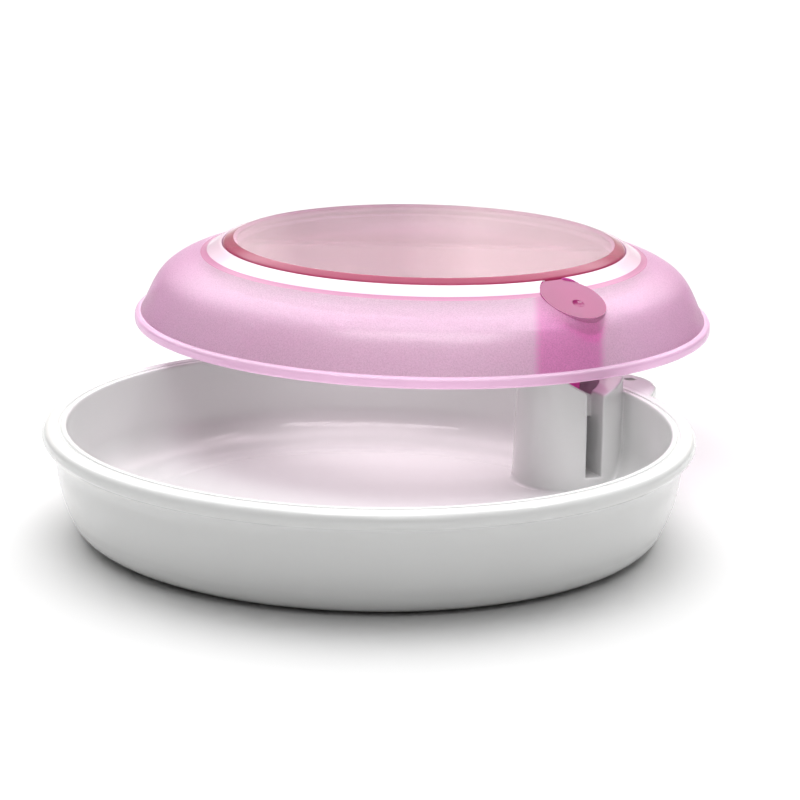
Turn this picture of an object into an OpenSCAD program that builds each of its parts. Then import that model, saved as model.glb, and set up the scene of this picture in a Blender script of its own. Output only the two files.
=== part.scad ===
// Round covered dish with a swivelling, rising lid.
// Units are millimetres, +Z is up, the underside of the base is z = 0 and
// the middle of the dish is x = y = 0. The lid is drawn swung open and risen.

/* [Dish] */
// height from the table to the top of the rim
dish_h = 18; // [12:0.5:30]
// inner radius of the rim
rim_in_r = 50; // [35:0.5:70]
// outer radius of the rounded bead under the rim
bead_r = 54; // [38:0.5:75]
// thickness of the floor
floor_t = 2; // [1.2:0.1:4]
// radius of the inside corner between wall and floor
inner_fillet = 7; // [2:0.5:12]
// width of the fine groove in the top of the rim
groove_w = 0.35; // [0.1:0.05:1]

/* [Carry lug] */
// how far the lug reaches from the middle of the dish
lug_reach = 59.4; // [56:0.1:64]
// radius of the small hole in the lug
lug_hole_r = 1.0; // [0.6:0.1:2.5]

/* [Hinge post] */
// distance of the hinge axis from the middle of the dish
hinge_off = 42.8; // [36:0.1:46]
// direction of the hinge axis, anticlockwise from +X
hinge_az = 35.5; // [0:0.5:360]
// outer radius of the post at the rim
post_r = 9.3; // [7:0.1:12]
// radius of the thinner wall beside the slot
post_side_r = 6.2; // [5.8:0.1:9]
// how far the post stands above the rim
post_rise = 3.6; // [0:0.1:5]
// width of the vertical slot in the post
slot_w = 3.1; // [1:0.1:4]
// direction of the slot seen from the hinge axis
slot_az = -64.5; // [-180:0.5:180]

/* [Lid] */
// outer radius of the lid flange
lid_r = 53.3; // [40:0.1:70]
// thickness of the lid flange
flange_t = 1.95; // [1:0.05:4]
// radius of the clear window at its top edge
window_r = 35.2; // [20:0.1:45]
// wall thickness of the frosted skirt
skirt_t = 1.7; // [1:0.1:3]
// radius of the hinge stem under the lid
stem_r = 4.9; // [4:0.1:5.2]

/* [Motion] */
// how far the lid is swung open
swing = 89; // [0:1:100]
// how much the lid rises over the full swing
lift_full = 3.85; // [2:0.05:5]

/* [Hinge hardware] */
// shoulder radius of the hinge screw
screw_r = 1.6; // [1:0.1:2]
// wire radius of the hinge spring
wire_r = 0.32; // [0.2:0.02:0.5]
// number of free turns of the hinge spring
turns = 5; // [3:1:9]

/* [Hidden] */
$fn = 96;

hx = hinge_off * cos(hinge_az);
hy = hinge_off * sin(hinge_az);
k_lift = lift_full / 89;        // rise in mm per degree of swing
lift = k_lift * swing;
seat_gap = 0.1;                 // flange above the rim when the lid is shut
lid_z = dish_h + seat_gap + lift;
stem_bore = stem_r + 0.1;       // running fit of the stem in the post
cam_tip = -2.8;                 // lowest point of the ramp surface, from the rim
cam_tip_az = 15;                // where the shut lid's tooth ends
cam_floor = dish_h - 2.95;
web_z = dish_h - 3.9;           // top of the spring chamber
chamber_r = 3.8;
boss_r = 5.8;                   // boss at the top of the lid, tapering to the stem
screw_hole_r = screw_r + 0.3;
head_z = 0.8 + lift;            // underside of the screw head, lid open
washer_z = head_z + 1.8;
washer_t = 0.6;
recess_z = 3.0;                 // stem face between the teeth, from the flange

// height of the polished sloping face over the boss, by distance from the lid's middle
function facet_z(u) = 14.62 - 0.405 * (u - 36.6);
function cam_z(a) = cam_tip + k_lift * (cam_tip_az - a);

// ring sector between two heights given by linear functions of the angle
module ramp(a0, a1, r0, r1, n, lo0, lo1, hi0, hi1) {
  pts = [for (i = [0:n]) let (t = i / n, a = a0 + (a1 - a0) * t,
           lo = lo0 + (lo1 - lo0) * t, hi = hi0 + (hi1 - hi0) * t)
         each [[r0 * cos(a), r0 * sin(a), lo], [r1 * cos(a), r1 * sin(a), lo],
               [r1 * cos(a), r1 * sin(a), hi], [r0 * cos(a), r0 * sin(a), hi]]];
  sides = [for (i = [0:n - 1]) for (j = [0:3]) let (b = 4 * i, c = 4 * (i + 1), m = (j + 1) % 4)
           each [[b + j, b + m, c + m], [b + j, c + m, c + j]]];
  polyhedron(points = pts, faces = concat([[3, 2, 1, 0]], sides, [[4 * n, 4 * n + 1, 4 * n + 2, 4 * n + 3]]), convexity = 6);
}

// points of a quarter arc in the profile plane
function arc(cx, cz, rx, rz, a0, a1, n) =
  [for (i = [0:n]) let (a = a0 + (a1 - a0) * i / n) [cx + rx * cos(a), cz + rz * sin(a)]];

module at_hinge() { translate([hx, hy, 0]) children(); }

// lid parts are written shut over the dish, then swung and raised
module open_pose() {
  translate([hx, hy, lid_z]) rotate([0, 0, -swing]) translate([-hx, -hy, 0]) children();
}

module dish_profile() {
  polygon(concat(
    [[0, 0], [44.6, 0]],
    arc(44.6, 4.6, 5.0, 4.6, -80, -12, 8),
    [[50.3, 5.4], [51.0, 7.5], [51.55, 10.0], [51.85, 12.4], [52.0, 13.1], [52.22, 13.75], [52.5, 14.4], [52.8, 14.88], [53.1, 15.1]],
    arc(bead_r - 1.5, dish_h - 1.5, 1.5, 1.5, -60, 90, 10),
    [[rim_in_r + 1.5, dish_h], [rim_in_r + 1.15 + groove_w / 2, dish_h - 0.1], [rim_in_r + 1.15 + groove_w / 2, dish_h - 0.55],
     [rim_in_r + 1.15 - groove_w / 2, dish_h - 0.55], [rim_in_r + 1.15 - groove_w / 2, dish_h - 0.06],
     [rim_in_r + 0.85, dish_h], [rim_in_r + 0.3, dish_h], [rim_in_r + 0.06, dish_h - 0.1], [rim_in_r, dish_h - 0.35],
     [rim_in_r - 0.25, dish_h - 4]],
    arc(rim_in_r - 0.7 - inner_fillet, floor_t + inner_fillet, inner_fillet, inner_fillet, 0, -90, 10),
    [[39.6, floor_t], [39.0, floor_t - 0.25], [0, floor_t - 0.25]]));
}

module post_shell() {
  difference() {
    union() {
      // thick wall, drafted, from the slot clockwise to the dish wall
      intersection() {
        translate([0, 0, floor_t - 0.8]) cylinder(h = dish_h + post_rise - floor_t + 0.8, r1 = post_r + 0.35, r2 = post_r - 0.05);
        translate([0, 0, -1]) linear_extrude(height = 40)
          polygon([[0, 0], [20 * cos(-67), 20 * sin(-67)], [-20, -30], [-30, 0], [-20, 30], [20 * cos(86), 20 * sin(86)]]);
      }
      translate([0, 0, floor_t - 0.8]) cylinder(h = dish_h + post_rise - floor_t + 0.8, r = post_side_r);
    }
    // vertical slot
    rotate([0, 0, slot_az]) translate([3.2, -slot_w / 2, dish_h - 13.7]) cube([12, slot_w, 40]);
    // V mouth over the slot
    rotate([0, 0, slot_az]) translate([1.5, 0, dish_h]) rotate([90, 0, 90]) linear_extrude(height = 12)
      polygon([[-slot_w / 2, 1.2], [0, 0.75], [slot_w / 2, 0.6], [7, 2.75], [7, 9], [-6.5, 9], [-6.5, 4.3]]);
    // stem bore and spring chamber
    translate([0, 0, cam_floor]) cylinder(h = 20, r = stem_bore);
  }
}

module cam_seat() {
  difference() {
    intersection() {
      for (s = [0, 180]) rotate([0, 0, s])
        translate([0, 0, dish_h]) ramp(-110, -10, 0.9, 7, 12, -4, -4, cam_z(-110), cam_z(-10));
      translate([0, 0, web_z]) cylinder(h = 20, r = stem_bore + 0.15);
    }
    translate([0, 0, -5]) cylinder(h = 60, r = screw_hole_r + 0.4);
  }
}

module lug() {
  rotate([0, 0, hinge_az]) translate([0, 0, 15.2]) {
    translate([lug_reach - 9.3, 0, 0]) cylinder(h = dish_h - 15.2, r = 9.3);
    linear_extrude(height = dish_h - 15.2)
      polygon([[46, -12.4], [lug_reach - 6.2, -10.2], [lug_reach - 2.5, -6.3], [lug_reach - 2.5, 6.3], [lug_reach - 6.2, 10.2], [46, 12.4]]);
  }
}

module dish_body() {
  color([0.93, 0.92, 0.93])
  difference() {
    union() {
      rotate_extrude() dish_profile();
      difference() {
        lug();
        translate([0, 0, -1]) cylinder(h = 40, r = rim_in_r + 1.6);
      }
      // the post, kept inside the wall below the rim and inside the lid above it
      intersection() {
        at_hinge() union() { post_shell(); cam_seat(); }
        rotate_extrude() polygon([[0, 0.5], [45, 0.5], [47.4, 2], [49.1, 4.5], [50.1, 7], [rim_in_r + 0.6, 10],
          [rim_in_r + 0.6, dish_h - 1.4], [rim_in_r - 0.8, dish_h], [rim_in_r - 0.8, dish_h + 8], [0, dish_h + 8]]);
      }
    }
    // spring chamber and screw way, open under the base
    at_hinge() translate([0, 0, -1]) cylinder(h = web_z + 1, r = chamber_r);
    at_hinge() translate([0, 0, web_z - 1]) cylinder(h = 10, r = screw_hole_r);
    // hole of the lug
    rotate([0, 0, hinge_az]) translate([lug_reach - 2.8, 0, 10]) cylinder(h = 20, r = lug_hole_r);
  }
}

// the skirt's outside, a smooth curve from the flange up to the ledge
function bez(t) = pow(1 - t, 3) * [52.2, 2.0] + 3 * pow(1 - t, 2) * t * [49.19, 7.87] + 3 * (1 - t) * t * t * [49.6, 10.2] + pow(t, 3) * [40.7, 12.85];
function bez_n(t) = let (d = bez(min(1, t + 0.01)) - bez(max(0, t - 0.01)), l = norm(d)) [d[1] / l, -d[0] / l];

module lid_profile() {
  polygon(concat(
    [[50.65, 0], [52.75, 0], [53.15, 0.18], [lid_r, 0.5], [lid_r, 1.35], [53.05, 1.75], [52.65, flange_t]],
    [for (i = [0:16]) bez(i / 16)],
    [[40.2, 13.05], [37.9, 14.5], [37.45, 14.6], [37.3, 14.5], [37.3, 13.2], [34.4, 13.2], [34.4, 11.5], [38.8, 11.5]],
    [for (i = [15:-1:0]) bez(i / 16) - skirt_t * bez_n(i / 16)]));
}

module lid_shell() {
  color([0.93, 0.55, 0.75, 0.7])
  open_pose() difference() {
    union() {
      rotate_extrude() lid_profile();
      // boss over the post
      intersection() {
        at_hinge() union() {
          translate([0, 0, recess_z]) cylinder(h = 20, r = stem_r);
          translate([0, 0, 4.2]) cylinder(h = 5.8, r1 = stem_r - 0.01, r2 = boss_r);
          translate([0, 0, 10]) cylinder(h = 8, r = boss_r);
        }
        rotate([0, 0, hinge_az]) rotate([90, 0, 0]) translate([0, 0, -10]) linear_extrude(height = 20)
          polygon([[30, 0], [60, 0], [60, facet_z(60)], [30, facet_z(30)]]);
      }
      // the two teeth that climb the ramps of the post
      at_hinge() intersection() {
        for (s = [0, 180]) rotate([0, 0, s])
          ramp(-75, 15, 0.9, 7, 12, cam_z(-75) - seat_gap + 0.06, cam_z(15) - seat_gap + 0.06, recess_z + 0.5, recess_z + 0.5);
        difference() {
          translate([0, 0, -8]) cylinder(h = 20, r = stem_r);
          translate([0, 0, -9]) cylinder(h = 9 + recess_z, r = screw_hole_r);
        }
      }
    }
    // sloping polished face over the boss
    intersection() {
      at_hinge() translate([0, 0, 5]) cylinder(h = 20, r = boss_r);
      rotate([0, 0, hinge_az]) rotate([90, 0, 0]) translate([0, 0, -10]) linear_extrude(height = 20)
        polygon([[30, 25], [60, 25], [60, facet_z(60)], [30, facet_z(30)]]);
    }
    // small gate dimple in that face
    rotate([0, 0, hinge_az]) translate([44.6, 0, facet_z(44.6) + 1.1]) sphere(r = 1.5, $fn = 48);
    // seat of the window
    translate([0, 0, 13.2]) cylinder(h = 5, r = 37.3);
    // screw hole in the boss
    at_hinge() translate([0, 0, recess_z - 0.5]) cylinder(h = 6.5, r = 1.2);
  }
}

module lid_window() {
  color([0.88, 0.45, 0.6, 0.6])
  open_pose() rotate_extrude()
    polygon([[0, 13.2], [37.26, 13.2], [37.26, 14.35], [36.9, 14.75], [window_r + 0.5, 15.3], [window_r, 15.5], [0, 15.5]]);
}

module hinge_screw() {
  color([0.72, 0.73, 0.75])
  at_hinge() difference() {
    union() {
      translate([0, 0, head_z]) cylinder(h = 1.8, r1 = 3.0, r2 = 3.4);
      translate([0, 0, head_z + 1.7]) cylinder(h = lid_z + recess_z - head_z - 1.7 - 0.02, r = screw_r);
      translate([0, 0, lid_z + recess_z - 0.1]) cylinder(h = 5.3, r = 1.2);
      translate([0, 0, lid_z + recess_z + 5.2]) cylinder(h = 0.7, r1 = 1.2, r2 = 0.6);
    }
    // cross recess
    for (a = [20, 110]) rotate([0, 0, a]) translate([-1.8, -0.35, head_z - 1]) cube([3.6, 0.7, 2]);
  }
}

module hinge_washer() {
  color([0.62, 0.63, 0.66])
  at_hinge() translate([0, 0, washer_z + 0.03]) difference() {
    cylinder(h = washer_t, r = 3.5);
    translate([0, 0, -1]) cylinder(h = 3, r = screw_r + 0.3);
  }
}

module hinge_spring() {
  z0 = washer_z + washer_t + 0.06;
  z1 = web_z - 0.03;
  rm = 2.68;
  pitch_h = z1 - z0 - 4 * wire_r;
  color([0.55, 0.56, 0.58])
  at_hinge() {
    // flat end coils
    translate([0, 0, z0 + wire_r]) rotate_extrude() translate([rm, 0]) circle(r = wire_r, $fn = 16);
    translate([0, 0, z1 - wire_r]) rotate_extrude() translate([rm, 0]) circle(r = wire_r, $fn = 16);
    // free coils
    translate([0, 0, z0 + wire_r]) linear_extrude(height = z1 - z0 - 2 * wire_r, twist = -360 * turns, slices = 24 * turns, $fn = 10)
      translate([rm, 0]) scale([0.8, 1.6]) circle(r = wire_r, $fn = 10);
  }
}

dish_body();
lid_shell();
lid_window();
hinge_screw();
hinge_washer();
hinge_spring();
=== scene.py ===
import math
import bmesh
import bpy
import numpy as np
from mathutils import Matrix, Vector


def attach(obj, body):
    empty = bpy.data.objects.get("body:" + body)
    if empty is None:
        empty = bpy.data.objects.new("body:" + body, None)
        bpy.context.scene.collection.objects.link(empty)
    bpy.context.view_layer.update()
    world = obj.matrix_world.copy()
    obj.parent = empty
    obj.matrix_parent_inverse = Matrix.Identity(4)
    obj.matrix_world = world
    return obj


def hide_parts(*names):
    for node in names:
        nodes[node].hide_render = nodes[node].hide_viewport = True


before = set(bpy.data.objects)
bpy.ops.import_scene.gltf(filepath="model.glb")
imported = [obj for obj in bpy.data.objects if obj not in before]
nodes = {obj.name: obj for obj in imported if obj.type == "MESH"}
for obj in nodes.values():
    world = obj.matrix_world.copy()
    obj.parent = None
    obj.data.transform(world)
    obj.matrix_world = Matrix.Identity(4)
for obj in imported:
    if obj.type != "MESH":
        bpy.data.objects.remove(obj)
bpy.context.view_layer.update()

MM = 0.001

# ---------------------------------------------------------------- dimensions
# the same figures as the CAD part, in millimetres
RIM = 50.0
DISH_H = 18.0
BEAD = 54.0
FLOOR = 2.0
HOFF, HAZ = 42.8, math.radians(35.5)
HX, HY = HOFF * math.cos(HAZ), HOFF * math.sin(HAZ)
SWING = 89.0
LIFT = 3.85
K = LIFT / 89.0
LID_Z = DISH_H + 0.1 + LIFT
LUG = HAZ


def arc(cx, cz, rx, rz, a0, a1, n):
    return [(cx + rx * math.cos(math.radians(a0 + (a1 - a0) * i / n)),
             cz + rz * math.sin(math.radians(a0 + (a1 - a0) * i / n))) for i in range(n + 1)]


def round_poly(pts, radii, n=4):
    """Profile points with their corners rounded by the radii given for some of them."""
    out = []
    m = len(pts)
    for i, p in enumerate(pts):
        r = radii.get(i, 0)
        if not r:
            out.append(p)
            continue
        a, b = np.array(pts[i - 1]), np.array(pts[(i + 1) % m])
        c = np.array(p)
        u, v = a - c, b - c
        lu, lv = np.linalg.norm(u), np.linalg.norm(v)
        u, v = u / lu, v / lv
        d = min(r, 0.45 * lu, 0.45 * lv)
        p0, p1 = c + u * d, c + v * d
        for k in range(n + 1):
            t = k / n
            q = (1 - t) ** 2 * p0 + 2 * t * (1 - t) * c + t * t * p1
            out.append((float(q[0]), float(q[1])))
    return out


def mesh_object(name, verts, faces, smooth=True, angle=None):
    me = bpy.data.meshes.new(name)
    me.from_pydata([tuple(v) for v in verts], [], [tuple(f) for f in faces])
    me.validate()
    me.update()
    ob = bpy.data.objects.new(name, me)
    bpy.context.scene.collection.objects.link(ob)
    if smooth:
        me.polygons.foreach_set("use_smooth", [True] * len(me.polygons))
        if angle is not None:
            me.set_sharp_from_angle(angle=math.radians(angle))
    return ob


def revolve(name, prof, segs=256, angle=35, closed=True):
    """Solid of revolution about Z from a closed (r, z) profile, in millimetres."""
    verts, ring = [], []
    for r, z in prof:
        if r < 1e-6:
            ring.append([len(verts)])
            verts.append((0, 0, z * MM))
        else:
            ring.append(list(range(len(verts), len(verts) + segs)))
            for s in range(segs):
                a = 2 * math.pi * s / segs
                verts.append((r * math.cos(a) * MM, r * math.sin(a) * MM, z * MM))
    faces = []
    m = len(prof)
    for i in range(m if closed else m - 1):
        a, b = ring[i], ring[(i + 1) % m]
        if len(a) == 1 and len(b) == 1:
            continue
        for s in range(segs):
            t = (s + 1) % segs
            if len(a) == 1:
                faces.append((a[0], b[t], b[s]))
            elif len(b) == 1:
                faces.append((a[s], a[t], b[0]))
            else:
                faces.append((a[s], a[t], b[t], b[s]))
    ob = mesh_object(name, verts, faces, angle=angle)
    bm = bmesh.new(); bm.from_mesh(ob.data)
    bmesh.ops.recalc_face_normals(bm, faces=bm.faces)
    bm.to_mesh(ob.data); bm.free()
    ob.data.set_sharp_from_angle(angle=math.radians(angle))
    return ob


# ---------------------------------------------------------------- signed distance helpers
def smin(a, b, k):
    h = np.clip(0.5 + 0.5 * (b - a) / k, 0, 1)
    return b + (a - b) * h - k * h * (1 - h)


def smax(a, b, k):
    return -smin(-a, -b, k)


def poly_sdf(px, pz, poly):
    """Signed distance to a closed polygon, negative inside."""
    d = np.full(px.shape, 1e9)
    inside = np.zeros(px.shape, bool)
    n = len(poly)
    for i in range(n):
        ax, az = poly[i]
        bx, bz = poly[(i + 1) % n]
        ex, ez = bx - ax, bz - az
        L = ex * ex + ez * ez
        if L < 1e-12:
            continue
        t = np.clip(((px - ax) * ex + (pz - az) * ez) / L, 0, 1)
        d = np.minimum(d, (px - ax - t * ex) ** 2 + (pz - az - t * ez) ** 2)
        c = (az > pz) != (bz > pz)
        with np.errstate(divide="ignore", invalid="ignore"):
            xi = ax + (pz - az) * ex / (ez if abs(ez) > 1e-12 else 1e-12)
        inside ^= c & (px < xi)
    return np.sqrt(d) * np.where(inside, -1, 1)


class Table2D:
    """A distance in the (r, z) plane, looked up instead of worked out."""

    def __init__(self, poly, r0, r1, z0, z1, h=0.06):
        self.r0, self.z0, self.h = r0, z0, h
        self.nr, self.nz = int((r1 - r0) / h) + 2, int((z1 - z0) / h) + 2
        R, Z = np.meshgrid(r0 + h * np.arange(self.nr), z0 + h * np.arange(self.nz), indexing="ij")
        self.g = poly_sdf(R, Z, poly)

    def __call__(self, r, z):
        u = np.clip((r - self.r0) / self.h, 0, self.nr - 1.001)
        v = np.clip((z - self.z0) / self.h, 0, self.nz - 1.001)
        i, j = u.astype(int), v.astype(int)
        u, v = u - i, v - j
        g = self.g
        return (g[i, j] * (1 - u) * (1 - v) + g[i + 1, j] * u * (1 - v)
                + g[i, j + 1] * (1 - u) * v + g[i + 1, j + 1] * u * v)


def nets(name, field, lo, hi, h, angle=40):
    """Closed surface of field(x, y, z) < 0 in a box, by averaging the crossings of each cell."""
    ax = [np.arange(lo[i], hi[i] + h, h) for i in range(3)]
    X, Y, Z = np.meshgrid(*ax, indexing="ij")
    F = field(X, Y, Z)
    F[0], F[-1], F[:, 0], F[:, -1], F[:, :, 0], F[:, :, -1] = 1, 1, 1, 1, 1, 1
    S = F < 0
    nx, ny, nz = F.shape
    cells = np.zeros((nx - 1, ny - 1, nz - 1), bool)
    corner = [S[i:nx - 1 + i, j:ny - 1 + j, k:nz - 1 + k] for i in (0, 1) for j in (0, 1) for k in (0, 1)]
    anyc = np.logical_or.reduce(corner)
    allc = np.logical_and.reduce(corner)
    cells = anyc & ~allc
    idx = -np.ones(cells.shape, int)
    ci, cj, ck = np.nonzero(cells)
    idx[ci, cj, ck] = np.arange(len(ci))
    P = np.zeros((len(ci), 3)); N = np.zeros(len(ci))
    off = [(i, j, k) for i in (0, 1) for j in (0, 1) for k in (0, 1)]
    for a in off:
        for d in range(3):
            if a[d]:
                continue
            b = list(a); b[d] = 1
            fa = F[ci + a[0], cj + a[1], ck + a[2]]
            fb = F[ci + b[0], cj + b[1], ck + b[2]]
            m = (fa < 0) != (fb < 0)
            t = np.where(m, fa / np.where(m, fa - fb, 1), 0)
            q = np.array(a, float)[None, :].repeat(len(ci), 0)
            q[:, d] += t
            P += q * m[:, None]; N += m
    P = P / N[:, None] + np.stack([ci, cj, ck], 1)
    V = np.array(lo)[None, :] + P * h
    faces = []
    for d in range(3):
        e1, e2 = (d + 1) % 3, (d + 2) % 3
        sl0 = [slice(None)] * 3; sl1 = [slice(None)] * 3
        sl0[d] = slice(0, -1); sl1[d] = slice(1, None)
        A, B = S[tuple(sl0)], S[tuple(sl1)]
        cross = A != B
        pi = np.stack(np.nonzero(cross), 1)
        ok = (pi[:, e1] > 0) & (pi[:, e2] > 0) & (pi[:, e1] < F.shape[e1] - 1) & (pi[:, e2] < F.shape[e2] - 1)
        pi = pi[ok]
        flip = A[tuple(pi.T)]
        c = []
        for u, v in ((-1, -1), (0, -1), (0, 0), (-1, 0)):
            q = pi.copy(); q[:, e1] += u; q[:, e2] += v
            c.append(idx[tuple(q.T)])
        c = np.stack(c, 1)
        c = np.where(flip[:, None], c, c[:, ::-1])
        faces.append(c)
    faces = np.concatenate(faces)
    used = np.unique(faces)
    remap = -np.ones(len(V), int); remap[used] = np.arange(len(used))
    return mesh_object(name, V[used] * MM, remap[faces].tolist(), angle=angle)


# ---------------------------------------------------------------- the white dish
outer = ([(0, 0), (43.6, 0), (44.2, 0.02)] + arc(44.6, 4.6, 5.0, 4.6, -84, -12, 22)
         + [(50.0, 4.55), (50.3, 5.4), (50.68, 6.45), (51.0, 7.5), (51.3, 8.7), (51.55, 10.0), (51.72, 11.2), (51.85, 12.4),
            (51.92, 12.76), (52.0, 13.1), (52.1, 13.43), (52.22, 13.75), (52.36, 14.08), (52.5, 14.4), (52.64, 14.66), (52.8, 14.88), (52.98, 15.04)]
         + arc(BEAD - 1.5, DISH_H - 1.5, 1.5, 1.5, -66, 90, 20)
         + [(51.75, DISH_H), (51.5, DISH_H - 0.03), (51.38, DISH_H - 0.12), (51.33, DISH_H - 0.3), (51.3, DISH_H - 0.5),
            (51.15, DISH_H - 0.56), (51.0, DISH_H - 0.5), (50.97, DISH_H - 0.3), (50.92, DISH_H - 0.1), (50.78, DISH_H - 0.02), (50.6, DISH_H + 0.0),
            (50.4, DISH_H), (50.2, DISH_H - 0.04), (50.07, DISH_H - 0.14), (50.0, DISH_H - 0.32), (49.97, DISH_H - 0.8), (49.86, DISH_H - 3), (49.6, DISH_H - 6)])
inner = (arc(49.3 - 7.0, FLOOR + 7.0, 7.0, 7.0, 0, -90, 24)
         + [(41.2, FLOOR), (40.0, FLOOR), (39.7, FLOOR - 0.03), (39.45, FLOOR - 0.12), (39.2, FLOOR - 0.22), (38.9, FLOOR - 0.25), (30, FLOOR - 0.25), (15, FLOOR - 0.25), (0, FLOOR - 0.25)])
dish_prof = outer + inner
dish = revolve("dish_bowl", dish_prof, segs=320, angle=50)

bowl_d = Table2D([(r, z) for r, z in dish_prof], 26, 58, -2, 24)
wall_in = Table2D([(0, 0.5), (45, 0.5), (47.4, 2), (49.1, 4.5), (50.1, 7), (50.6, 10), (50.6, 17), (49.7, 18.0), (49.7, 26), (0, 26)], 26, 58, -2, 24)


def cam_z(a):
    return DISH_H - 2.8 + K * (15 - a)


def post_field(X, Y, Z):
    x, y = X - HX, Y - HY
    r = np.hypot(x, y)
    a = np.degrees(np.arctan2(y, x))
    R = np.hypot(X, Y)
    s = math.radians(-64.5)
    along = x * math.cos(s) + y * math.sin(s)
    perp = -x * math.sin(s) + y * math.cos(s)
    # thick wall on the clockwise side of the slot, thinner wall on the other
    e = math.radians(86)
    comp = np.maximum(-perp, x * math.sin(e) * -1 * -1 - y * math.cos(e))
    cone = r - (9.65 - 0.35 * np.clip((Z - 2.0) / 19.6, 0, 1))
    thick = smax(cone, -comp, 0.5)
    d = smin(thick, r - 6.2, 0.4)
    d = smax(d, Z - (DISH_H + 3.6), 0.35)
    slot = np.maximum(np.maximum(np.abs(perp) - 1.55, 3.2 - along), (DISH_H - 13.7) - Z)
    d = smax(d, -slot, 0.3)
    lip = np.where(perp > 0, 0.6 + 0.394 * np.maximum(perp - 1.55, 0) + 0.1 * np.clip(1.55 - perp, 0, 1.55), 1.2 + 0.626 * np.maximum(-perp - 1.55, 0) - 0.28 * np.clip(1.55 + perp, 0, 1.55))
    mouth = np.maximum((DISH_H + lip - Z) / 1.15, 1.5 - along)
    d = smax(d, -mouth, 0.35)
    bore = np.maximum(r - 5.0, (DISH_H - 2.95) - Z)
    d = smax(d, -bore, 0.25)
    # helical seat, two ramps
    for t in (0, 180):
        b = (a - t + 360) % 360 - 360
        b = np.where(b < -180, b + 360, b)
        b = np.where(b > 60, b - 360, b)
        ramp = np.maximum.reduce([r - 5.15, Z - cam_z(b), (-110 - b) * math.pi / 180 * np.maximum(r, 1), (b + 10) * math.pi / 180 * np.maximum(r, 1), 14.1 - Z])
        d = np.minimum(d, ramp)
    d = smax(d, -(r - 2.1), 0.15)
    d = smax(d, wall_in(R, Z), 0.15)
    bowl = bowl_d(R, Z) + 0.03
    d = smin(d, bowl, 0.9)
    d = smax(d, -np.maximum(r - 3.8, Z - (DISH_H - 3.9)), 0.15)
    return d


post = nets("hinge_post", post_field, (HX - 12.6, HY - 12.6, 0.3), (HX + 12.6, HY + 12.6, 22.4), 0.17)


def lug_field(X, Y, Z):
    c, s = math.cos(LUG), math.sin(LUG)
    u, v = X * c + Y * s, -X * s + Y * c
    R = np.hypot(X, Y)
    flare = poly_sdf(u, v, [(44, -12.6), (46, -12.4), (53.2, -10.2), (56.9, -6.3), (56.9, 6.3), (53.2, 10.2), (46, 12.4), (44, 12.6)])
    body = smin(np.hypot(u - 50.1, v) - 9.3, flare, 1.2)
    d = smax(body, np.abs(Z - (DISH_H + 15.2) / 2) - (DISH_H - 15.2) / 2, 0.7)
    d = smax(d, 51.9 - R, 0.1)
    d = smin(d, bowl_d(R, Z) + 0.03, 0.6)
    # only what lies on the outer side of the rim groove
    d = smax(d, -(np.hypot(u - 56.6, v) - 1.0), 0.25)
    # the blend must not stand above the rim the lid lands on
    return np.maximum(d, Z - (DISH_H - 0.02))


lug = nets("lug_ear", lug_field, (34.5, 20.5, 13.2), (54.5, 45.5, 18.4), 0.15)


def apply_boolean(ob, cutter, op):
    m = ob.modifiers.new("b", "BOOLEAN")
    m.operation = op; m.object = cutter; m.solver = "EXACT"
    dg = bpy.context.evaluated_depsgraph_get()
    me = bpy.data.meshes.new_from_object(ob.evaluated_get(dg))
    ob.modifiers.clear()
    old = ob.data
    ob.data = me
    bpy.data.meshes.remove(old)
    c = cutter.data
    bpy.data.objects.remove(cutter); bpy.data.meshes.remove(c)


def prism(name, pts, z0, z1, mat=None):
    """Closed prism over a polygon in XY, in millimetres, optionally carried by a 4x4."""
    n = len(pts)
    V = [Vector((x, y, z)) for z in (z0, z1) for x, y in pts]
    if mat is not None:
        V = [mat @ v for v in V]
    F = [tuple(range(n))[::-1], tuple(range(n, 2 * n))] + [(i, (i + 1) % n, n + (i + 1) % n, n + i) for i in range(n)]
    ob = mesh_object(name, [v * MM for v in V], F, smooth=False)
    bm = bmesh.new(); bm.from_mesh(ob.data); bmesh.ops.recalc_face_normals(bm, faces=bm.faces); bm.to_mesh(ob.data); bm.free()
    return ob


def circle(cx, cy, r, n=96):
    return [(cx + r * math.cos(2 * math.pi * i / n), cy + r * math.sin(2 * math.pi * i / n)) for i in range(n)]


# the open spring chamber under the base
apply_boolean(dish, prism("c1", circle(HX, HY, 3.8), -1, 3.0), "DIFFERENCE")
dish.data.set_sharp_from_angle(angle=math.radians(50))

# ---------------------------------------------------------------- the pink lid
T = 1.7
BZ = [np.array(q) for q in ((52.2, 2.0), (49.19, 7.87), (49.6, 10.2), (40.7, 12.85))]


def bez(t):
    return (1 - t) ** 3 * BZ[0] + 3 * (1 - t) ** 2 * t * BZ[1] + 3 * (1 - t) * t * t * BZ[2] + t ** 3 * BZ[3]


def bez_n(t):
    d = bez(min(1, t + 0.01)) - bez(max(0, t - 0.01))
    d = d / np.linalg.norm(d)
    return np.array((d[1], -d[0]))


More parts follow.
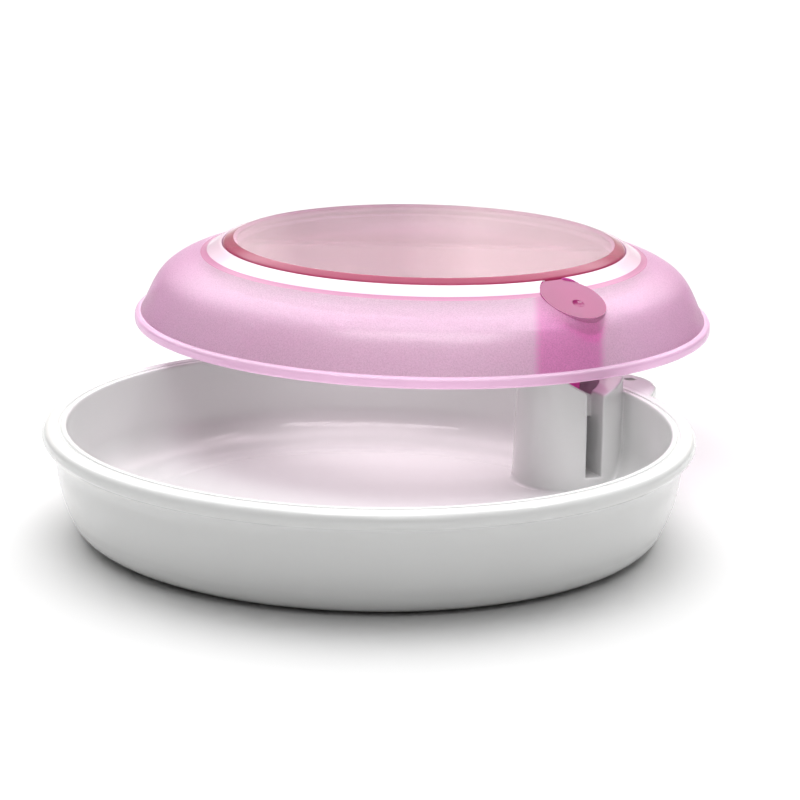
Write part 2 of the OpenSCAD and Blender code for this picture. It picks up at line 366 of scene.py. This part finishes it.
skirt_out = [tuple(map(float, bez(i / 48))) for i in range(49)]
skirt_in = [tuple(map(float, bez(i / 40) - T * bez_n(i / 40))) for i in range(39, -1, -1)]
lid_prof = round_poly(
    [(50.65, 0), (52.75, 0), (53.15, 0.18), (53.3, 0.5), (53.3, 1.35), (53.1, 1.75), (52.65, 1.95)] + skirt_out
    + [(40.2, 13.05), (37.9, 14.5), (37.45, 14.6), (37.3, 14.5), (37.3, 13.2), (34.4, 13.2), (34.4, 11.5), (38.8, 11.5)]
    + skirt_in,
    {0: 0.2, 1: 0.3, 2: 0.2, 3: 0.3, 4: 0.3, 5: 0.2, 6: 0.2, 55: 0.5, 56: 0.9, 57: 0.9, 58: 0.25, 59: 0.1, 61: 0.2, 62: 0.2, 63: 0.3}, n=6)
lid = revolve("lid_skirt", lid_prof, segs=320, angle=32)

to_lid = Matrix.Translation((HX, HY, LID_Z)) @ Matrix.Rotation(math.radians(-SWING), 4, "Z") @ Matrix.Translation((-HX, -HY, 0))


def place(ob):
    m = to_lid.copy(); m.translation = m.translation * MM
    ob.data.transform(m)


# boss: a round post whose top is a sloping face, in the vertical plane through the hinge
ca, sa = math.cos(HAZ), math.sin(HAZ)


def facet_z(u):
    return 14.62 - 0.405 * (u - 36.6)


def boss_mesh(name, r, z0, top, n=96, extra=0.0):
    """Cylinder on the hinge axis from z0 to the sloping face (top None) or to a flat top."""
    V, F = [], []
    for k in range(2):
        for i in range(n):
            a = 2 * math.pi * i / n
            x, y = HX + r * math.cos(a), HY + r * math.sin(a)
            u = x * ca + y * sa
            z = z0 if k == 0 else (facet_z(u) + extra if top is None else top)
            V.append((x * MM, y * MM, z * MM))
    F = [tuple(range(n))[::-1], tuple(range(n, 2 * n))] + [(i, (i + 1) % n, n + (i + 1) % n, n + i) for i in range(n)]
    return mesh_object(name, V, F, smooth=False)


def cutter_mesh(name, r, n=96):
    V = []
    for k in range(2):
        for i in range(n):
            a = 2 * math.pi * i / n
            x, y = HX + r * math.cos(a), HY + r * math.sin(a)
            u = x * ca + y * sa
            V.append((x * MM, y * MM, (facet_z(u) if k == 0 else 22) * MM))
    F = [tuple(range(n))[::-1], tuple(range(n, 2 * n))] + [(i, (i + 1) % n, n + (i + 1) % n, n + i) for i in range(n)]
    return mesh_object(name, V, F, smooth=False)


def boss(name, n=128):
    """Stem, taper and head of the boss, closed by the sloping face."""
    V, F = [], []
    for r, z in ((4.9, 3.0), (4.9, 4.2), (5.8, 10.0), (5.8, None)):
        for i in range(n):
            a = 2 * math.pi * i / n
            x, y = HX + r * math.cos(a), HY + r * math.sin(a)
            V.append((x * MM, y * MM, (facet_z(x * ca + y * sa) + 0.4 if z is None else z) * MM))
    F = [tuple(range(n))[::-1], tuple(range(3 * n, 4 * n))]
    for k in range(3):
        F += [(k * n + i, k * n + (i + 1) % n, (k + 1) * n + (i + 1) % n, (k + 1) * n + i) for i in range(n)]
    return mesh_object(name, V, F, smooth=False)


head = boss("b1")
apply_boolean(head, prism("c4", circle(0, 0, 37.6, 320), 13.0, 18.0), "DIFFERENCE")
apply_boolean(lid, head, "UNION")
apply_boolean(lid, cutter_mesh("b2", 5.87, 100), "DIFFERENCE")


def ball(name, c, r):
    me = bpy.data.meshes.new(name)
    bm = bmesh.new()
    bmesh.ops.create_uvsphere(bm, u_segments=48, v_segments=24, radius=r * MM)
    bmesh.ops.translate(bm, verts=bm.verts, vec=Vector(c) * MM)
    bm.to_mesh(me); bm.free()
    ob = bpy.data.objects.new(name, me)
    bpy.context.scene.collection.objects.link(ob)
    return ob


# the small gate dimple in the sloping face
apply_boolean(lid, ball("b3", (44.6 * ca, 44.6 * sa, facet_z(44.6) + 1.1), 1.5), "DIFFERENCE")


def tooth(name, a0, a1, z_lo0, z_lo1, z_hi, r0, r1, n=36):
    V, F = [], []
    for i in range(n + 1):
        t = i / n
        a = math.radians(a0 + (a1 - a0) * t)
        lo = z_lo0 + (z_lo1 - z_lo0) * t
        for r, z in ((r0, lo), (r1, lo), (r1, z_hi), (r0, z_hi)):
            V.append(((HX + r * math.cos(a)) * MM, (HY + r * math.sin(a)) * MM, z * MM))
    for i in range(n):
        b, c = 4 * i, 4 * (i + 1)
        for j in range(4):
            m = (j + 1) % 4
            F.append((b + j, b + m, c + m, c + j))
    F.append((3, 2, 1, 0)); F.append((4 * n, 4 * n + 1, 4 * n + 2, 4 * n + 3))
    ob = mesh_object(name, V, F, smooth=False)
    bm = bmesh.new(); bm.from_mesh(ob.data); bmesh.ops.recalc_face_normals(bm, faces=bm.faces); bm.to_mesh(ob.data); bm.free()
    return ob


zz = lambda a: -2.8 + K * (15 - a) - 0.1 + 0.06
for t in (0, 180):
    apply_boolean(lid, tooth("t", -75 + t, 15 + t, zz(-75), zz(15), 3.4, 1.9, 4.9), "UNION")
apply_boolean(lid, prism("c3", circle(HX, HY, 1.2, 48), 2.5, 8.5), "DIFFERENCE")
for p in lid.data.polygons:
    p.use_smooth = True
lid.data.set_sharp_from_angle(angle=math.radians(32))

window = revolve("lid_pane", round_poly([(0, 13.2), (37.24, 13.2), (37.24, 14.4), (36.9, 14.8), (35.7, 15.32), (35.2, 15.5), (0, 15.5)],
                                         {1: 0.1, 2: 0.25, 3: 0.25, 4: 0.25, 5: 0.25}), segs=256, angle=40)
for ob in (lid, window):
    place(ob)

# ---------------------------------------------------------------- materials
def new_mat(name):
    m = bpy.data.materials.new(name)
    m.use_nodes = True
    nt = m.node_tree
    return m, nt, nt.nodes["Principled BSDF"], nt.nodes["Material Output"]


def node(nt, kind, **kw):
    n = nt.nodes.new(kind)
    for k, v in kw.items():
        if k in n.inputs:
            n.inputs[k].default_value = v
        else:
            setattr(n, k, v)
    return n


def ramp_node(nt, stops):
    n = nt.nodes.new("ShaderNodeValToRGB")
    e = n.color_ramp.elements
    while len(e) < len(stops):
        e.new(0.5)
    for el, (p, c) in zip(e, stops):
        el.position = p
        el.color = (*c, 1) if len(c) == 3 else c
    return n


def plastic(name, base, var, rough, rough_var, bump=0.02, grain=900.0, fine=2600.0, sss=0.0):
    """Moulded plastic: faint flow marks in the colour, a satin to gloss roughness and a fine orange peel."""
    m, nt, bs, out = new_mat(name)
    L = nt.links
    co = node(nt, "ShaderNodeTexCoord")
    big = node(nt, "ShaderNodeTexNoise", Scale=38.0, Detail=3.0, Roughness=0.5)
    L.new(co.outputs["Object"], big.inputs["Vector"])
    cr = ramp_node(nt, [(0.3, tuple(base[i] * (1 - var) for i in range(3))), (0.7, tuple(min(1, base[i] * (1 + var)) for i in range(3)))])
    L.new(big.outputs["Fac"], cr.inputs["Fac"])
    L.new(cr.outputs["Color"], bs.inputs["Base Color"])
    sm = node(nt, "ShaderNodeTexNoise", Scale=grain, Detail=4.0, Roughness=0.6)
    L.new(co.outputs["Object"], sm.inputs["Vector"])
    mr = node(nt, "ShaderNodeMapRange")
    mr.inputs["From Min"].default_value = 0.3; mr.inputs["From Max"].default_value = 0.7
    mr.inputs["To Min"].default_value = rough - rough_var; mr.inputs["To Max"].default_value = rough + rough_var
    L.new(sm.outputs["Fac"], mr.inputs["Value"])
    L.new(mr.outputs["Result"], bs.inputs["Roughness"])
    fn = node(nt, "ShaderNodeTexNoise", Scale=fine, Detail=2.0)
    L.new(co.outputs["Object"], fn.inputs["Vector"])
    bp = node(nt, "ShaderNodeBump", Strength=bump, Distance=0.0002)
    L.new(fn.outputs["Fac"], bp.inputs["Height"])
    L.new(bp.outputs["Normal"], bs.inputs["Normal"])
    if sss:
        bs.inputs["Subsurface Weight"].default_value = sss
        bs.inputs["Subsurface Radius"].default_value = (1.0, 0.8, 0.8)
        bs.inputs["Subsurface Scale"].default_value = 0.0012
    return m, nt, bs, out


white, nt, bs, _ = plastic("white_moulded", (0.84, 0.845, 0.84), 0.010, 0.19, 0.03, bump=0.02)
bs.inputs["Coat Weight"].default_value = 0.3
bs.inputs["Coat Roughness"].default_value = 0.07


def pink(name, base, trans, rough, bump, sigma, film=0.0, film_col=(1, 1, 1), scale=2300.0, grain=0.0,
         glow=0.0, glow_col=(1, 1, 1), through=(0.985, 0.94, 0.97), coat=0.0, spec=0.5, boss_column_painted=None):
    """Tinted see-through plastic: a frosted or polished refracting surface over a body that soaks up green."""
    m, nt, bs, out = new_mat(name)
    L = nt.links
    co = node(nt, "ShaderNodeTexCoord")
    gr = node(nt, "ShaderNodeTexNoise", Scale=scale, Detail=3.0, Roughness=0.65)
    L.new(co.outputs["Object"], gr.inputs["Vector"])
    big = node(nt, "ShaderNodeTexNoise", Scale=30.0, Detail=3.0)
    L.new(co.outputs["Object"], big.inputs["Vector"])
    mix = node(nt, "ShaderNodeMix", data_type="FLOAT")
    mix.inputs[0].default_value = grain
    L.new(big.outputs["Fac"], mix.inputs[2]); L.new(gr.outputs["Fac"], mix.inputs[3])
    cr = ramp_node(nt, [(0.35, tuple(c * (0.985 - 0.07 * grain) for c in base)), (0.65, tuple(min(1, c * (1.01 + 0.05 * grain)) for c in base))])
    L.new(mix.outputs[0], cr.inputs["Fac"])
    L.new(cr.outputs["Color"], bs.inputs["Base Color"])
    painted_column_mask = None
    if boss_column_painted:
        # painted see-through: a stronger pink column with a grainy edge is painted into the skirt's colour and its glow
        # where the solid boss stands behind the frosting
        xyz = node(nt, "ShaderNodeSeparateXYZ")
        L.new(co.outputs["Object"], xyz.inputs[0])
        dx = node(nt, "ShaderNodeMath", operation="SUBTRACT")
        dx.inputs[1].default_value = (HX - 0.9) * MM
        L.new(xyz.outputs["X"], dx.inputs[0])
        ad = node(nt, "ShaderNodeMath", operation="ABSOLUTE")
        L.new(dx.outputs[0], ad.inputs[0])
        jt = node(nt, "ShaderNodeMath", operation="MULTIPLY_ADD")
        jt.inputs[1].default_value = 0.0030
        L.new(gr.outputs["Fac"], jt.inputs[0]); L.new(ad.outputs[0], jt.inputs[2])
        m_x = node(nt, "ShaderNodeMapRange", interpolation_type="SMOOTHSTEP")
        m_x.inputs["From Min"].default_value = 0.0064; m_x.inputs["From Max"].default_value = 0.0082
        m_x.inputs["To Min"].default_value = 1.0; m_x.inputs["To Max"].default_value = 0.0
        L.new(jt.outputs[0], m_x.inputs["Value"])
        m_y = node(nt, "ShaderNodeMapRange")
        m_y.inputs["From Min"].default_value = (HY + 1) * MM; m_y.inputs["From Max"].default_value = (HY + 3) * MM
        m_y.inputs["To Min"].default_value = 0.92; m_y.inputs["To Max"].default_value = 0.0
        L.new(xyz.outputs["Y"], m_y.inputs["Value"])
        mk = node(nt, "ShaderNodeMath", operation="MULTIPLY")
        L.new(m_x.outputs["Result"], mk.inputs[0]); L.new(m_y.outputs["Result"], mk.inputs[1])
        painted_column_mask = mk.outputs[0]
        cm = node(nt, "ShaderNodeMix", data_type="RGBA")
        L.new(painted_column_mask, cm.inputs[0]); L.new(cr.outputs["Color"], cm.inputs[6])
        cm.inputs[7].default_value = (*boss_column_painted, 1)
        L.new(cm.outputs[2], bs.inputs["Base Color"])
    mr = node(nt, "ShaderNodeMapRange")
    mr.inputs["From Min"].default_value = 0.3; mr.inputs["From Max"].default_value = 0.7
    mr.inputs["To Min"].default_value = max(0.0, rough * 0.8); mr.inputs["To Max"].default_value = rough * 1.2
    L.new(gr.outputs["Fac"], mr.inputs["Value"])
    L.new(mr.outputs["Result"], bs.inputs["Roughness"])
    bp = node(nt, "ShaderNodeBump", Strength=bump, Distance=0.0002)
    L.new(gr.outputs["Fac"], bp.inputs["Height"])
    L.new(bp.outputs["Normal"], bs.inputs["Normal"])
    bs.inputs["Transmission Weight"].default_value = trans
    bs.inputs["IOR"].default_value = 1.49
    bs.inputs["Coat Weight"].default_value = coat
    bs.inputs["Specular IOR Level"].default_value = spec
    bs.inputs["Coat Roughness"].default_value = max(0.03, rough * 0.85)
    last = bs.outputs["BSDF"]
    if glow:
        tl = node(nt, "ShaderNodeBsdfTranslucent")
        tl.inputs["Color"].default_value = (*glow_col, 1)
        if painted_column_mask is not None:
            gm = node(nt, "ShaderNodeMix", data_type="RGBA")
            L.new(painted_column_mask, gm.inputs[0])
            gm.inputs[6].default_value = (*glow_col, 1); gm.inputs[7].default_value = (*boss_column_painted, 1)
            L.new(gm.outputs[2], tl.inputs["Color"])
        m1 = node(nt, "ShaderNodeMixShader")
        m1.inputs["Fac"].default_value = glow
        L.new(last, m1.inputs[1]); L.new(tl.outputs["BSDF"], m1.inputs[2])
        last = m1.outputs["Shader"]
    if film:
        # tiny polished specks in the frosting let a sharp view through
        tr = node(nt, "ShaderNodeBsdfTransparent")
        tr.inputs["Color"].default_value = (*film_col, 1)
        m2 = node(nt, "ShaderNodeMixShader")
        fr = node(nt, "ShaderNodeMapRange")
        fr.inputs["From Min"].default_value = 0.35; fr.inputs["From Max"].default_value = 0.65
        fr.inputs["To Min"].default_value = film * (1 - grain); fr.inputs["To Max"].default_value = film * (1 + grain)
        L.new(gr.outputs["Fac"], fr.inputs["Value"])
        share = fr.outputs["Result"]
        L.new(share, m2.inputs["Fac"])
        L.new(last, m2.inputs[1]); L.new(tr.outputs["BSDF"], m2.inputs[2])
        last = m2.outputs["Shader"]
    # light on its way to the dish goes through the thin wall, tinted
    lp = node(nt, "ShaderNodeLightPath")
    add = node(nt, "ShaderNodeMath", operation="MAXIMUM")
    L.new(lp.outputs["Is Shadow Ray"], add.inputs[0]); L.new(lp.outputs["Is Diffuse Ray"], add.inputs[1])
    t3 = node(nt, "ShaderNodeBsdfTransparent")
    t3.inputs["Color"].default_value = (*through, 1)
    m3 = node(nt, "ShaderNodeMixShader")
    L.new(add.outputs["Value"], m3.inputs["Fac"])
    L.new(last, m3.inputs[1]); L.new(t3.outputs["BSDF"], m3.inputs[2])
    L.new(m3.outputs["Shader"], out.inputs["Surface"])
    if sigma:
        top = max(sigma)
        ab = node(nt, "ShaderNodeVolumeAbsorption")
        ab.inputs["Color"].default_value = (*[1 - q / (top * 1.02) for q in sigma], 1)
        ab.inputs["Density"].default_value = top * 1.02
        L.new(ab.outputs["Volume"], out.inputs["Volume"])
    return m


BODY = (3.0, 42.0, 9.0)
THRU = (0.998, 0.962, 0.990)
# painted see-through: the frosted skirt carries the stronger pink boss column
frosted = pink("pink_frosted", (0.985, 0.83, 0.935), 0.45, 0.34, 0.45, BODY, film=0.20, film_col=(0.99, 0.90, 0.97),
               scale=4200.0, grain=0.5, glow=0.42, glow_col=(1.0, 0.87, 0.97), through=THRU, coat=1.0, boss_column_painted=(0.92, 0.33, 0.70))
polished = pink("pink_polished", (0.98, 0.74, 0.92), 0.6, 0.06, 0.02, BODY, film=0.06, film_col=(0.98, 0.86, 0.95), scale=900.0,
                glow=0.35, glow_col=(0.99, 0.76, 0.94), through=THRU)
# painted highlight: a near-white copy of the pink for the sloping ledge round the window
ledge_highlight = pink("pink_ledge", (1.0, 0.86, 0.95), 0.30, 0.08, 0.03, BODY, scale=1500.0, glow=0.2, glow_col=(1.0, 0.88, 0.97), through=THRU, coat=0.6)
# painted shade: a darker, more saturated copy of the pink for the crease ring at the top of the skirt
crease_shade = pink("pink_crease", (0.60, 0.24, 0.41), 0.3, 0.20, 0.05, BODY, scale=1500.0, glow=0.2, glow_col=(0.95, 0.6, 0.8), through=THRU)
# painted shade: a darker, more saturated copy of the pink for the boss stem and the teeth, for the thick plastic in the
# shaded post
deep_shade = pink("pink_deep", (0.98, 0.12, 0.62), 0.25, 0.12, 0.03, BODY, scale=900.0, glow=0.4, glow_col=(1.0, 0.16, 0.68), through=(0.96, 0.75, 0.88))
# painted shade: a very dark copy of the pink for the sloping face of the boss, for the shade inside the thick boss seen
# through it
facet = pink("pink_facet", (0.38, 0.045, 0.19), 0.45, 0.06, 0.03, BODY, scale=900.0, glow=0.15, glow_col=(0.9, 0.22, 0.6), through=(0.96, 0.75, 0.88))
# painted shade: a dark red copy of the pink for the pane's edge, for light lost on the long path through the edge
rim_edge_shade = pink("pink_rim", (0.25, 0.015, 0.06), 0.15, 0.06, 0.02, None, scale=900.0, through=(0.98, 0.93, 0.96), spec=0.2)
pane = pink("pink_pane", (0.86, 0.79, 0.83), 0.9, 0.04, 0.02, (4.0, 34.0, 24.0), film=0.13, film_col=(0.97, 0.88, 0.92), scale=700.0,
            glow=0.04, glow_col=(0.97, 0.85, 0.9), through=THRU)


def steel(name, base, rough):
    m, nt, bs, out = new_mat(name)
    L = nt.links
    bs.inputs["Metallic"].default_value = 1.0
    co = node(nt, "ShaderNodeTexCoord")
    mp = node(nt, "ShaderNodeMapping")
    mp.inputs["Scale"].default_value = (400, 400, 3500)
    L.new(co.outputs["Object"], mp.inputs["Vector"])
    no = node(nt, "ShaderNodeTexNoise", Scale=1.0, Detail=4.0)
    L.new(mp.outputs["Vector"], no.inputs["Vector"])
    cr = ramp_node(nt, [(0.3, tuple(c * 0.85 for c in base)), (0.7, base)])
    L.new(no.outputs["Fac"], cr.inputs["Fac"]); L.new(cr.outputs["Color"], bs.inputs["Base Color"])
    mr = node(nt, "ShaderNodeMapRange")
    mr.inputs["To Min"].default_value = rough * 0.7; mr.inputs["To Max"].default_value = rough * 1.4
    L.new(no.outputs["Fac"], mr.inputs["Value"]); L.new(mr.outputs["Result"], bs.inputs["Roughness"])
    return m


def set_mat(ob, *mats):
    ob.data.materials.clear()
    for m in mats:
        ob.data.materials.append(m)


for ob in (dish, post, lug):
    set_mat(ob, white)
set_mat(window, pane, rim_edge_shade)
# painted shade: the pane's edge beyond r 35.25 takes the dark red copy
for p in window.data.polygons:
    c = to_lid.inverted() @ (Vector(p.center) / MM)
    if math.hypot(c.x, c.y) > 35.25:
        p.material_index = 1

# the skirt's outside is frosted; the sloping face, the crease ring, the ledge and the boss stem take copies of the pink
# with painted shade and painted highlight; everything else on the lid is polished
set_mat(lid, polished, frosted, deep_shade, ledge_highlight, facet, crease_shade)
inv = to_lid.inverted()
me = lid.data
for p in me.polygons:
    c = inv @ (Vector(p.center) / MM)
    n = inv.to_3x3() @ p.normal
    r = math.hypot(c.x, c.y)
    radial = (n.x * c.x + n.y * c.y) / max(r, 1e-6)
    h = math.hypot(c.x - HX, c.y - HY)
    on_skirt = 2.05 < c.z < 12.83 and r > 40.75 and float(np.interp(c.z, [q[1] for q in skirt_out], [q[0] for q in skirt_out])) - r < 0.25
    # painted shade: the sloping face and its dimple take the very dark copy
    if h < 5.9 and (abs(c.z - facet_z(c.x * ca + c.y * sa)) < 0.05 and n.z > 0.7 or abs(c.z - facet_z(c.x * ca + c.y * sa)) < 0.7 and math.hypot(c.x - 44.6 * ca, c.y - 44.6 * sa) < 1.6):
        p.material_index = 4
    elif on_skirt and radial > 0.0 and r > 41.3:
        p.material_index = 1
    # painted shade: the crease ring takes the darker copy
    elif 40.05 < r < 41.3 and c.z > 12.4 and n.z > 0.0:
        p.material_index = 5
    # painted highlight: the sloping ledge takes the near-white copy
    elif 37.2 < r < 41.5 and c.z > 12.6 and n.z > 0.0:
        p.material_index = 3
    # painted shade: the boss stem and the teeth take the darker copy
    elif h < 5.9 and (h > 4.5 or c.z < 3.2):
        p.material_index = 2
    else:
        p.material_index = 0

set_mat(nodes["hinge_screw"], steel("steel_screw", (0.72, 0.72, 0.74), 0.28))
set_mat(nodes["hinge_washer"], steel("steel_washer", (0.62, 0.62, 0.64), 0.3))
set_mat(nodes["hinge_spring"], steel("steel_spring", (0.42, 0.42, 0.44), 0.32))

for ob in (dish, post, lug):
    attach(ob, "dish")
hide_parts("dish_body"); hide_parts("dish_body"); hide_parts("dish_body")
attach(lid, "lid"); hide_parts("lid_shell")
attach(window, "lid"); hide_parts("lid_window")

# ---------------------------------------------------------------- studio
floor_m, nt, bs, _ = plastic("studio_floor", (0.90, 0.90, 0.90), 0.003, 0.8, 0.03, bump=0.0, grain=60, fine=90)
bs.inputs["Specular IOR Level"].default_value = 0.15
bpy.ops.mesh.primitive_plane_add(size=14, location=(0, 0, -0.0002))
floor = bpy.context.object
floor.name = "studio_floor"
set_mat(floor, floor_m)

world = bpy.data.worlds.new("studio")
bpy.context.scene.world = world
world.use_nodes = True
wn = world.node_tree
bg = wn.nodes["Background"]
tc = node(wn, "ShaderNodeTexCoord")
sep = node(wn, "ShaderNodeSeparateXYZ")
wn.links.new(tc.outputs["Generated"], sep.inputs[0])
# a bright dome leaning back over the dish, a dim warm wall low behind it and a dark room in front
lean = node(wn, "ShaderNodeVectorMath", operation="DOT_PRODUCT")
lean.inputs[1].default_value = (-0.04, 0.66, 0.75)
wn.links.new(tc.outputs["Generated"], lean.inputs[0])
sqx = node(wn, "ShaderNodeMath", operation="POWER")
sqx.inputs[1].default_value = 2.0
absx = node(wn, "ShaderNodeMath", operation="ABSOLUTE")
wn.links.new(sep.outputs["X"], absx.inputs[0]); wn.links.new(absx.outputs[0], sqx.inputs[0])
nar = node(wn, "ShaderNodeMath", operation="MULTIPLY_ADD")
nar.inputs[1].default_value = -0.48
wn.links.new(sqx.outputs[0], nar.inputs[0]); wn.links.new(lean.outputs["Value"], nar.inputs[2])
half = node(wn, "ShaderNodeMapRange")
half.inputs["From Min"].default_value = 0.0; half.inputs["From Max"].default_value = 1.0
wn.links.new(nar.outputs[0], half.inputs["Value"])
dome = ramp_node(wn, [(0.0, (0.035, 0.035, 0.035)), (0.30, (0.045, 0.045, 0.045)), (0.48, (0.20, 0.20, 0.20)), (0.62, (0.78, 0.78, 0.78)), (0.78, (1.0, 1.0, 1.0))])
wn.links.new(half.outputs["Result"], dome.inputs["Fac"])
low = ramp_node(wn, [(0.0, (0.40, 0.39, 0.38)), (0.14, (0.25, 0.22, 0.20)), (0.36, (0.34, 0.31, 0.29)), (0.50, (1.0, 1.0, 1.0))])
wn.links.new(sep.outputs["Z"], low.inputs["Fac"])
# soft uneven patches on the low wall, which the window mirrors
mx_ = node(wn, "ShaderNodeMapRange")
mx_.inputs["From Min"].default_value = -0.2; mx_.inputs["From Max"].default_value = 0.2
wn.links.new(sep.outputs["X"], mx_.inputs["Value"])
patch = ramp_node(wn, [(0.0, (0.8, 0.8, 0.8)), (0.34, (1.25, 1.2, 1.2)), (0.42, (0.35, 0.33, 0.30)), (0.52, (0.4, 0.37, 0.34)), (0.60, (1.2, 1.15, 1.15)), (0.78, (0.7, 0.68, 0.66)), (1.0, (1.1, 1.1, 1.1))])
wn.links.new(mx_.outputs["Result"], patch.inputs["Fac"])
mz = node(wn, "ShaderNodeMapRange")
mz.inputs["From Min"].default_value = 0.30; mz.inputs["From Max"].default_value = 0.48
mz.inputs["To Min"].default_value = 1.0; mz.inputs["To Max"].default_value = 0.0
wn.links.new(sep.outputs["Z"], mz.inputs["Value"])
mixp = node(wn, "ShaderNodeMix", data_type="RGBA", blend_type="MULTIPLY")
wn.links.new(mz.outputs["Result"], mixp.inputs[0])
wn.links.new(low.outputs["Color"], mixp.inputs[6]); wn.links.new(patch.outputs["Color"], mixp.inputs[7])
mixc = node(wn, "ShaderNodeMix", data_type="RGBA", blend_type="MULTIPLY")
mixc.inputs[0].default_value = 1.0
wn.links.new(dome.outputs["Color"], mixc.inputs[6]); wn.links.new(mixp.outputs[2], mixc.inputs[7])
wn.links.new(mixc.outputs[2], bg.inputs["Color"])
bg.inputs["Strength"].default_value = 3.0


def area(name, loc, target, size, energy, color=(1, 1, 1), size_y=None):
    l = bpy.data.lights.new(name, "AREA")
    l.shape = "RECTANGLE" if size_y else "SQUARE"
    l.size = size
    if size_y:
        l.size_y = size_y
    l.energy = energy
    l.color = color
    ob = bpy.data.objects.new(name, l)
    bpy.context.scene.collection.objects.link(ob)
    ob.location = loc
    ob.rotation_euler = (Vector(target) - Vector(loc)).to_track_quat("-Z", "Y").to_euler()
    return ob


area("strip", (0.25, -0.75, 1.0), (0, 0.0, 0.01), 0.45, 1.2, size_y=0.12)
# a softbox over the front that is flagged off everything but the lid
lid_box = area("lid_soft", (0.0, -0.44, 0.90), (0, 0.04, 0.03), 1.0, 11.0, size_y=0.26)
lit = bpy.data.collections.new("lid_only")
for ob in (lid, window):
    lit.objects.link(ob)
lid_box.light_linking.receiver_collection = lit
# an overhead box and two thin strips for the dish alone
bowl_only = bpy.data.collections.new("dish_only")
for ob in (dish, post, lug):
    bowl_only.objects.link(ob)
for ob in (area("dish_soft", (0.0, -0.12, 1.1), (0, 0, 0), 0.5, 2.6),
           area("streak_a", (0.55, 0.07, 0.80), (-0.03, 0.03, 0.005), 0.30, 0.45, size_y=0.02),
           area("streak_b", (0.40, 0.17, 0.87), (-0.03, 0.03, 0.005), 0.22, 0.30, size_y=0.02)):
    ob.light_linking.receiver_collection = bowl_only

# ---------------------------------------------------------------- camera
U = 50.0
d, h, pitch, yaw, roll, f = 8.990, 2.369, 0.250, 0.011, -0.022, 2.8
C = Vector((0, -d * U, h * U + DISH_H)) * MM
fw = Vector((math.sin(yaw) * math.cos(pitch), math.cos(yaw) * math.cos(pitch), -math.sin(pitch)))
rt = Vector((math.cos(yaw), -math.sin(yaw), 0))
dn = fw.cross(rt)
R_ = math.cos(roll) * rt + math.sin(roll) * dn
D_ = -math.sin(roll) * rt + math.cos(roll) * dn
cam = bpy.data.cameras.new("cam")
cam.sensor_width = 36.0
cam.lens = 36.0 * f * 1000 / 800.0
cam.clip_start = 0.01
cam.clip_end = 100
co = bpy.data.objects.new("cam", cam)
bpy.context.scene.collection.objects.link(co)
M = Matrix(((R_.x, -D_.x, -fw.x, C.x), (R_.y, -D_.y, -fw.y, C.y), (R_.z, -D_.z, -fw.z, C.z), (0, 0, 0, 1)))
co.matrix_world = M
bpy.context.scene.camera = co
bpy.context.scene.view_settings.view_transform = "Standard"
